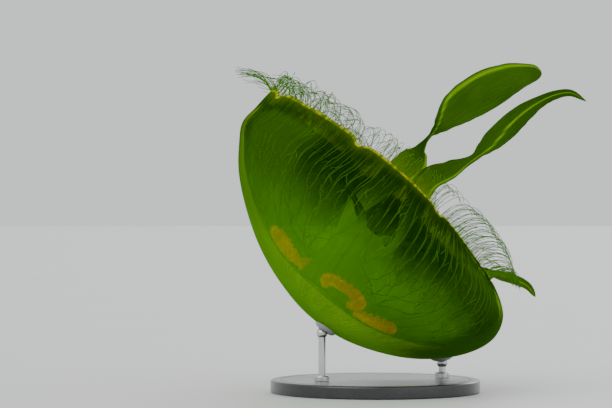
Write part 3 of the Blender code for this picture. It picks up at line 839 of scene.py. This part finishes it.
def soften(mesh, seams):
    """Rounds the seams where bodies were united, by evening out the points near them."""
    count = len(mesh.vertices)
    points = np.empty(count * 3)
    mesh.vertices.foreach_get("co", points)
    points = points.reshape(-1, 3)
    edges = np.empty(len(mesh.edges) * 2, int)
    mesh.edges.foreach_get("vertices", edges)
    edges = edges.reshape(-1, 2)
    tree = search_tree(points[seams])
    lows, highs = points[seams].min(axis=0) - SEAM_REACH, points[seams].max(axis=0) + SEAM_REACH
    weight = np.zeros(count)
    for i in np.flatnonzero(((points > lows) & (points < highs)).all(axis=1)):
        weight[i] = max(0.0, 1 - tree.find(points[i])[2] / SEAM_REACH)
    weight = (weight * 0.5)[:, None]
    degree = np.bincount(edges.ravel(), minlength=count)[:, None]
    for _ in range(SEAM_ROUNDS):
        total = np.zeros_like(points)
        for k in range(3):
            total[:, k] = (np.bincount(edges[:, 0], points[edges[:, 1], k], count)
                           + np.bincount(edges[:, 1], points[edges[:, 0], k], count))
        points += (total / np.maximum(degree, 1) - points) * weight
    mesh.vertices.foreach_set("co", points.ravel())
    mesh.update()


def skin(finish):
    """Bell, stalk and arms as one closed skin, each point with the marks of the nearest one laid out."""
    rows, bell_marks = bell_skin()
    points, faces = closed_rows(world(rows), world(np.zeros(3)))
    body = solid("jellyfish_skin", points, faces)
    sources, marks, arms = [points], [bell_marks], []
    for number, name in enumerate(ARMS):
        rows, rib = arm_rows(name, number * 1.7)
        points, faces = closed_rows(world(rows))
        arms.append(solid(f"arm_{name}", points, faces))
        sources.append(points)
        marks.append(arm_marks(rib))
    unite(body, arms)
    tree = search_tree(np.concatenate(sources))
    _, nearest, distance = zip(*(tree.find(vertex.co) for vertex in body.data.vertices))
    soften(body.data, np.array(distance) > SEAM_MISS)
    values = np.concatenate(marks)[list(nearest)].astype(np.float32)
    for mark, column in zip(MARKS, values.T):
        body.data.attributes.new(mark, "FLOAT", "POINT").data.foreach_set("value", column.copy())
    ray = values[:, len(MARKS):].ravel()
    body.data.attributes.new("ray", "FLOAT_VECTOR", "POINT").data.foreach_set("vector", ray)
    body.data.shade_smooth()
    dress(body, finish, "bell_flesh")
    return body


# ---- canals, gonads, fringe and sense organs


def canal_runs(chance):
    """The canals as runs of (share, azimuth): forked ones under each notch, and a straight one between."""
    runs = []

    def fork(start, azimuth, half, level):
        last = level == len(CANAL_SPLITS)
        end = RING_CANAL if last else CANAL_SPLITS[level][0] + chance.uniform(-0.035, 0.035)
        runs.append((start, (end, azimuth)))
        if last:
            return
        count = CANAL_SPLITS[level][1]
        for i in range(count):
            aside = (2 * i + 1) / count - 1
            jitter = chance.uniform(-0.08, 0.08)
            fork((end, azimuth), azimuth + half * (aside + jitter / count), half / count, level + 1)

    for sector in range(LOBES):
        middle = FIRST_ARM + LOBE * sector
        fork((CANAL_START, middle), middle, LOBE / 2 * CANAL_FAN, 0)
        between = middle + LOBE / 2
        runs.append(((CANAL_START, between), (RING_CANAL, between)))
        for _ in range(CANAL_LINKS):
            at = middle + LOBE / 2 * chance.uniform(-0.85, 0.85)
            low = chance.uniform(0.62, 0.9)
            aside = chance.choice([-1, 1]) * LOBE / 24
            runs.append(((low, at), (low + 0.05, at + aside)))
    return runs


def canals(finish):
    """All canals, winding a little, and the ring canal that they run into."""
    chance = np.random.default_rng(4)
    lines = []
    for (t0, a0), (t1, a1) in canal_runs(chance):
        u = np.linspace(0, 1, CANAL_STEPS)
        t = t0 + (t1 - t0) * u
        azimuth = a0 + (a1 - a0) * smooth(0, 0.95, u)
        phase = chance.uniform(0, TURN, 2)
        winding = np.sin(7 * u + phase[0]) + np.sin(13 * u + phase[1])
        azimuth = azimuth + np.sin(math.pi * u) * 0.003 * winding
        lines.append(bell(t * rim(azimuth), azimuth, 1, CANAL_SINK))
    radii = np.full((len(lines), CANAL_STEPS), CANAL_RADIUS)
    points, faces = tubes(world(np.array(lines)), radii, CANAL_SIDES, MOUTHWARD)
    around = np.linspace(0, TURN, 361)[None, :]
    ring = world(bell(RING_CANAL * rim(around), around, 1, CANAL_SINK))
    radii = np.full(around.shape, CANAL_RADIUS * 1.3)
    ring_points, ring_made = tubes(ring, radii, CANAL_SIDES, MOUTHWARD)
    faces += [tuple(len(points) + i for i in face) for face in ring_made]
    dress(solid("canals", np.concatenate([points, ring_points]), faces), finish, "bell_flesh")


def gonad(number, finish):
    """A horseshoe under the crown, narrower towards its ends, with coarse and finer ruffles on its crest."""
    azimuth = FIRST_ARM + LOBE + QUARTER * number + GONAD_TURN
    middle = np.array((math.cos(azimuth), math.sin(azimuth))) * GONAD_PLACE
    share = np.linspace(-1, 1, GONAD_STEPS)[:, None]
    bend = azimuth + GONAD_SWEEP * share
    around = TURN * np.arange(GONAD_SIDES) / GONAD_SIDES
    half = GONAD_WIDTH / 2 * (1 - 0.5 * share ** 4)
    high = GONAD_HEIGHT * (1 - 0.4 * share ** 4)
    fold = np.sin(share * 45 + 1.5 * np.sin(share * 7 + number) + number)
    finer = np.sin(share * 103 + 2 * np.sin(share * 13 + number))
    crest = (1 + np.sin(around)) / 2
    height = crest * (1 + 0.12 * fold + 0.06 * finer)
    reach = GONAD_BEND + half * np.cos(around) * (1 + 0.07 * fold) + 0.6 * MM * crest * fold
    x, y = middle[0] + np.cos(bend) * reach, middle[1] + np.sin(bend) * reach
    rows = ceiling(x, y, CEILING_GAP + high * height)
    points, faces = closed_rows(world(rows))
    marks = np.concatenate([np.broadcast_to(height, rows.shape[:2]).ravel(), (0.5, 0.5)])
    made = solid(f"gonad_fold_{number + 1}", points, faces, high=marks)
    dress(made, finish, "gonad_tissue", f"gonad_{number + 1}")


def tentacle_lines(azimuth, lobe_side, chance):
    """The lines of a lobe's tentacles: an orderly comb on the low side, which runs level and bends down, and
    looser ones elsewhere, which rise and fall outwards or, on the high side, also inwards."""
    end = rim(azimuth)
    root = bell(end, azimuth, 0.5)
    start = unit(root - bell(end - ROOT_STEP, azimuth, 0.5))
    low, back = np.cos(azimuth)[:, None], np.sin(azimuth)[:, None]
    lobe_side = lobe_side[:, None]
    each = low.shape
    out, side = low * (1, 0, 0) + back * (0, 1, 0), low * (0, 1, 0) - back * (1, 0, 0)
    depthwise = np.array((0, 0, 1))
    comb = smooth(*COMB_LOW, low) * (1 - smooth(*COMB_BACK, back))
    high = smooth(*HIGH_FRINGE, -low)
    loose = 1 - COMB_CALM * comb
    swept = unit(out * (1 - COMB_SWEEP) + np.array((COMB_SWEEP, 0, 0)))
    level = swept * math.sin(AXIS_RISE) + depthwise * math.cos(AXIS_RISE)
    upward = depthwise * math.sin(AXIS_RISE) - swept * math.cos(AXIS_RISE)
    inward = (chance.random(each) < INWARD_SHARE * high) * chance.uniform(1.1, 2.0, each)
    splay = high * (inward == 0)
    start = start + side * chance.normal(0, 0.3, each) * loose
    start = unit(start + out * (chance.normal(0, 0.25, each) * loose + 1.4 * splay))
    rise = depthwise * ((1 + (1 + back) / 2) * (1 - 0.8 * splay)) + out * (0.3 + 0.7 * splay)
    droop = 0.35 * (1 - low) - 0.5 * back + chance.normal(0, 0.18, each) * loose
    lean = 0.3 * back - 0.25 * lobe_side + chance.normal(0, 0.2, each) * loose
    fall = out * (1 - inward) - depthwise * droop + side * lean
    tilt = chance.normal(COMB_TILT, 0.06, each)
    length = TENTACLE_LENGTH * (1 - 0.12 * lobe_side ** 2)
    length = length * (1 + 0.13 * np.minimum(low, 0) - 0.1 * comb - 0.12 * np.maximum(low, 0) ** 4)
    length = length * chance.uniform(1 - 0.2 * loose, 1 + 0.12 * loose, each)
    phase = chance.uniform(0, TURN, (2, *each))
    wave = chance.uniform(0.15, 0.5, each) * loose
    points = [root - start * 0.5 * MM]
    for i in range(TENTACLE_STEPS):
        u = (i + 0.5) / TENTACLE_STEPS
        free = start * (1 - u) ** 3 + rise * 1.8 * u * (1 - u) ** 2 + fall * u ** 1.5
        angle = tilt - COMB_BEND * u ** 2.2
        drawn = start * (1 - u) ** 4 + level * np.cos(angle) + upward * np.sin(angle)
        heading = unit(unit(free) * (1 - comb) + unit(drawn) * comb)
        sway = side * np.sin(u * 11 + phase[0]) + depthwise * np.sin(u * 9 + phase[1])
        points.append(points[-1] + unit(heading + sway * wave * 0.5 * u) * length / TENTACLE_STEPS)
    return np.stack(points, axis=1)


def tentacles(number, finish):
    """The fringe of one lobe. Its colours are read from a few rows of small patches of the unwrapped bell."""
    chance = np.random.default_rng(20 + number)
    places = np.arange(TENTACLES_PER_LOBE)
    lobe_side = ((places + 0.5) / TENTACLES_PER_LOBE * 2 - 1) * FRINGE_SHARE
    lobe_side = lobe_side + chance.uniform(-0.3, 0.3, TENTACLES_PER_LOBE) / TENTACLES_PER_LOBE
    azimuth = FIRST_ARM + LOBE * number + LOBE * (lobe_side + 1) / 2
    lines = tentacle_lines(azimuth, lobe_side, chance)
    along = np.linspace(0, 1, TENTACLE_STEPS + 1)
    slim = TENTACLE_ROOT + (TENTACLE_TIP - TENTACLE_ROOT) * along
    slim = slim + (TENTACLE_BULB - TENTACLE_ROOT) * np.exp(-along * BULB_ENDS)
    radii = np.broadcast_to(slim, lines.shape[:2])
    points, faces = tubes(world(lines), radii, TENTACLE_SIDES, MOUTHWARD + 0.3 * LOWWARD)
    marks = np.broadcast_to(along[:, None], (*lines.shape[:2], TENTACLE_SIDES))
    around = np.broadcast_to(np.linspace(-0.5, 0.5, TENTACLE_SIDES), marks.shape)
    across = (azimuth / TURN % 1)[:, None, None] + around * TUFT_PATCH
    row = (places % TUFT_ROWS)[:, None, None] * TUFT_PATCH * TUFT_PITCH
    down = TUFT_TOP - row + (marks - 0.5) * TUFT_PATCH
    unwrap = np.stack([across, down], axis=-1).reshape(-1, 2)
    dress(solid(f"tentacles_{number + 1}", points, faces, unwrap, along=marks.ravel()), finish, "bell_flesh")


def sense_organ(number, finish):
    """The small club in the notch before a lobe, on a short neck."""
    azimuth = np.array([FIRST_ARM + LOBE * number])
    end = rim(azimuth)
    edge = bell(end, azimuth, 0.5)[0]
    heading = unit(edge - bell(end - RIM_STEP, azimuth, 0.5)[0])
    middle = edge + heading * (LIP + SENSE_RADIUS + GAP)
    side = np.array((-math.sin(azimuth[0]), math.cos(azimuth[0]), 0))
    up = np.cross(heading, side)
    around = TURN * np.arange(SENSE_SIDES) / SENSE_SIDES
    rows, high = [], []
    for s in np.linspace(0, 1, SENSE_ROWS + 2)[1:-1]:
        at = (s - 0.5) * 2
        club = 0.45 + 0.5 * smooth(0.3, 0.62, s)
        ends = math.sqrt(max(0.02, 1 - max(0, at) ** 3 - 0.25 * max(0, -at)))
        size = SENSE_RADIUS * club * ends
        centre = middle + heading * at * SENSE_RADIUS * SENSE_STRETCH
        across = centre + side * (np.cos(around) * size)[:, None]
        rows.append(across + up * (np.sin(around) * size * 0.85)[:, None])
        high.append(np.clip(s + 0.3 * np.sin(around) - 0.2, 0, 1))
    start, tip = rows[0].mean(axis=0) - heading * 0.1 * MM, rows[-1].mean(axis=0) + heading * 0.08 * MM
    points, faces = closed_rows(world(np.array(rows)), world(start), world(tip))
    marks = np.concatenate([np.ravel(high), (0, 1)])
    made = solid(f"sense_organ_{number + 1}", points, faces, high=marks)
    dress(made, finish, "sense_tissue", f"rhopalium_{number + 1}")


# ---- the stand


def turned(name, profile, middle, sides, axis=(0, 0, 1)):
    """A body of revolution through (radius, height) points, closed at both ends, on an axis."""
    around = TURN * np.arange(sides) / sides
    spin = np.array(Vector(axis).to_track_quat("Z", "Y").to_matrix())
    rows = np.array([[(r * math.cos(a), r * math.sin(a), z) for a in around] for r, z in profile])
    points, faces = closed_rows(rows @ spin.T + np.asarray(middle))
    made = solid(name, points, faces)
    made.data.set_sharp_from_angle(angle=CREASE)
    return made


def arc(radius, middle, start, end, steps):
    turns = np.linspace(start, end, steps)
    return [(middle[0] + radius * math.cos(a), middle[1] + radius * math.sin(a)) for a in turns]


def base(finish):
    """The disc, with a bevelled edge and a groove round its top."""
    groove = BASE_RADIUS - GROOVE_INSET
    profile = [(BASE_RADIUS - 1.2 * MM, 0), (BASE_RADIUS - 0.6 * MM, 0.15 * MM), (BASE_RADIUS, 0.9 * MM)]
    profile += arc(BASE_BEVEL, (BASE_RADIUS - BASE_BEVEL, BASE_HEIGHT - BASE_BEVEL), 0, QUARTER, 9)
    profile += [(groove + 2 * GROOVE_RADIUS, BASE_HEIGHT)]
    profile += arc(GROOVE_RADIUS, (groove, BASE_HEIGHT), 0, -math.pi, 9)
    profile += [(groove - 4 * GROOVE_RADIUS, BASE_HEIGHT)]
    dress(turned("stand_base_disc", profile, (0, 0, 0), 160), finish, "stand_lacquer", "stand_base")


def rod_profile(ball_height):
    """A rod with a bevelled collar at its foot and a ball at its top."""
    foot = BASE_HEIGHT + GAP
    collar = foot + COLLAR_HEIGHT
    profile = [(COLLAR_RADIUS, foot), (COLLAR_RADIUS, collar)]
    profile += arc(COLLAR_BEVEL, (COLLAR_RADIUS - COLLAR_BEVEL, collar), 0, QUARTER, 6)
    profile += [(ROD_RADIUS, foot + ROD_START), (ROD_RADIUS, ball_height - BALL_RADIUS * 0.72)]
    profile += arc(BALL_RADIUS, (0, ball_height), -0.8, QUARTER - 0.02, 16)
    return [(max(radius, 0.05 * MM), height) for radius, height in profile]


def pad_profile():
    """A pad with a rounded edge, from its flat face against the bell to its domed back."""
    thin = PAD_THICK / 2
    edge = [(PAD_RADIUS - 1.2 * MM, -thin), (PAD_RADIUS - 0.2 * MM, 0.15 * MM - thin)]
    edge += [(PAD_RADIUS, 0.6 * MM - thin), (PAD_RADIUS * 0.97, 0)]
    return edge + [(PAD_RADIUS * 0.75, thin * 0.8), (PAD_RADIUS * 0.4, thin), (2.5 * MM, thin)]


def stand(lacquer, steel, rubber):
    base(lacquer)
    for number, (share, azimuth) in enumerate(RESTS):
        touch = world(bell(share, azimuth))
        downhill = world(bell(share + REST_STEP, azimuth)) - world(bell(share - REST_STEP, azimuth))
        sideways = world(bell(share, azimuth + REST_STEP)) - world(bell(share, azimuth - REST_STEP))
        outward = unit(np.cross(downhill, sideways))
        outward = outward * -np.sign(outward[2])
        pad_middle = touch + outward * (GAP + PAD_THICK / 2)
        ball = pad_middle + outward * (PAD_THICK / 2 + BALL_RADIUS * 0.5)
        post = turned(f"stand_post_{number + 1}", rod_profile(ball[2]), (ball[0], ball[1], 0), 48)
        dress(post, steel, "stand_steel", f"stand_rod_{number + 1}")
        pad = turned(f"stand_pad_{number + 1}", pad_profile(), pad_middle, 64, outward)
        dress(pad, rubber, "stand_steel")


# ---- the studio


def studio():
    bpy.ops.mesh.primitive_grid_add(x_subdivisions=8, y_subdivisions=8, size=24)
    floor = bpy.context.object
    floor.name = "pale_floor"
    floor.data.materials.append(floor_finish())
    room = bpy.data.worlds.new("pale_room")
    room.use_nodes = True
    sky = room.node_tree.nodes["Background"]
    sky.inputs["Color"].default_value = (0.93, 0.95, 0.96, 1)
    sky.inputs["Strength"].default_value = 0.9
    bpy.context.scene.world = room
    for name, come_from, strength, width in LAMPS:
        lamp = bpy.data.lights.new(name, "SUN")
        lamp.energy = strength
        lamp.angle = math.radians(width)
        holder = bpy.data.objects.new(name, lamp)
        holder.rotation_euler = (-Vector(come_from)).to_track_quat("-Z", "Y").to_euler()
        bpy.context.collection.objects.link(holder)


def camera():
    lens = bpy.data.cameras.new("camera")
    lens.sensor_width = 36
    lens.lens = CAMERA_LENS
    lens.clip_start, lens.clip_end = 0.05, 60
    holder = bpy.data.objects.new("camera", lens)
    holder.location = CAMERA_PLACE
    holder.rotation_euler = (QUARTER, 0, 0)
    bpy.context.collection.objects.link(holder)
    bpy.context.scene.camera = holder


def main():
    flesh = [name for name in frame["nodes"] if name.startswith(("bell_", "mouth_stalk", "oral_arm_"))]
    body = skin(Flesh().made())
    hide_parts(*flesh)
    canals(canal_finish())
    gonad_look, fringe_look, sense_look = gonad_finish(), tentacle_finish(), sense_finish()
    for number in range(4):
        gonad(number, gonad_look)
    for number in range(LOBES):
        tentacles(number, fringe_look)
        sense_organ(number, sense_look)
    stand(lacquer_finish(), steel_finish(), pad_finish())
    studio()
    camera()


main()
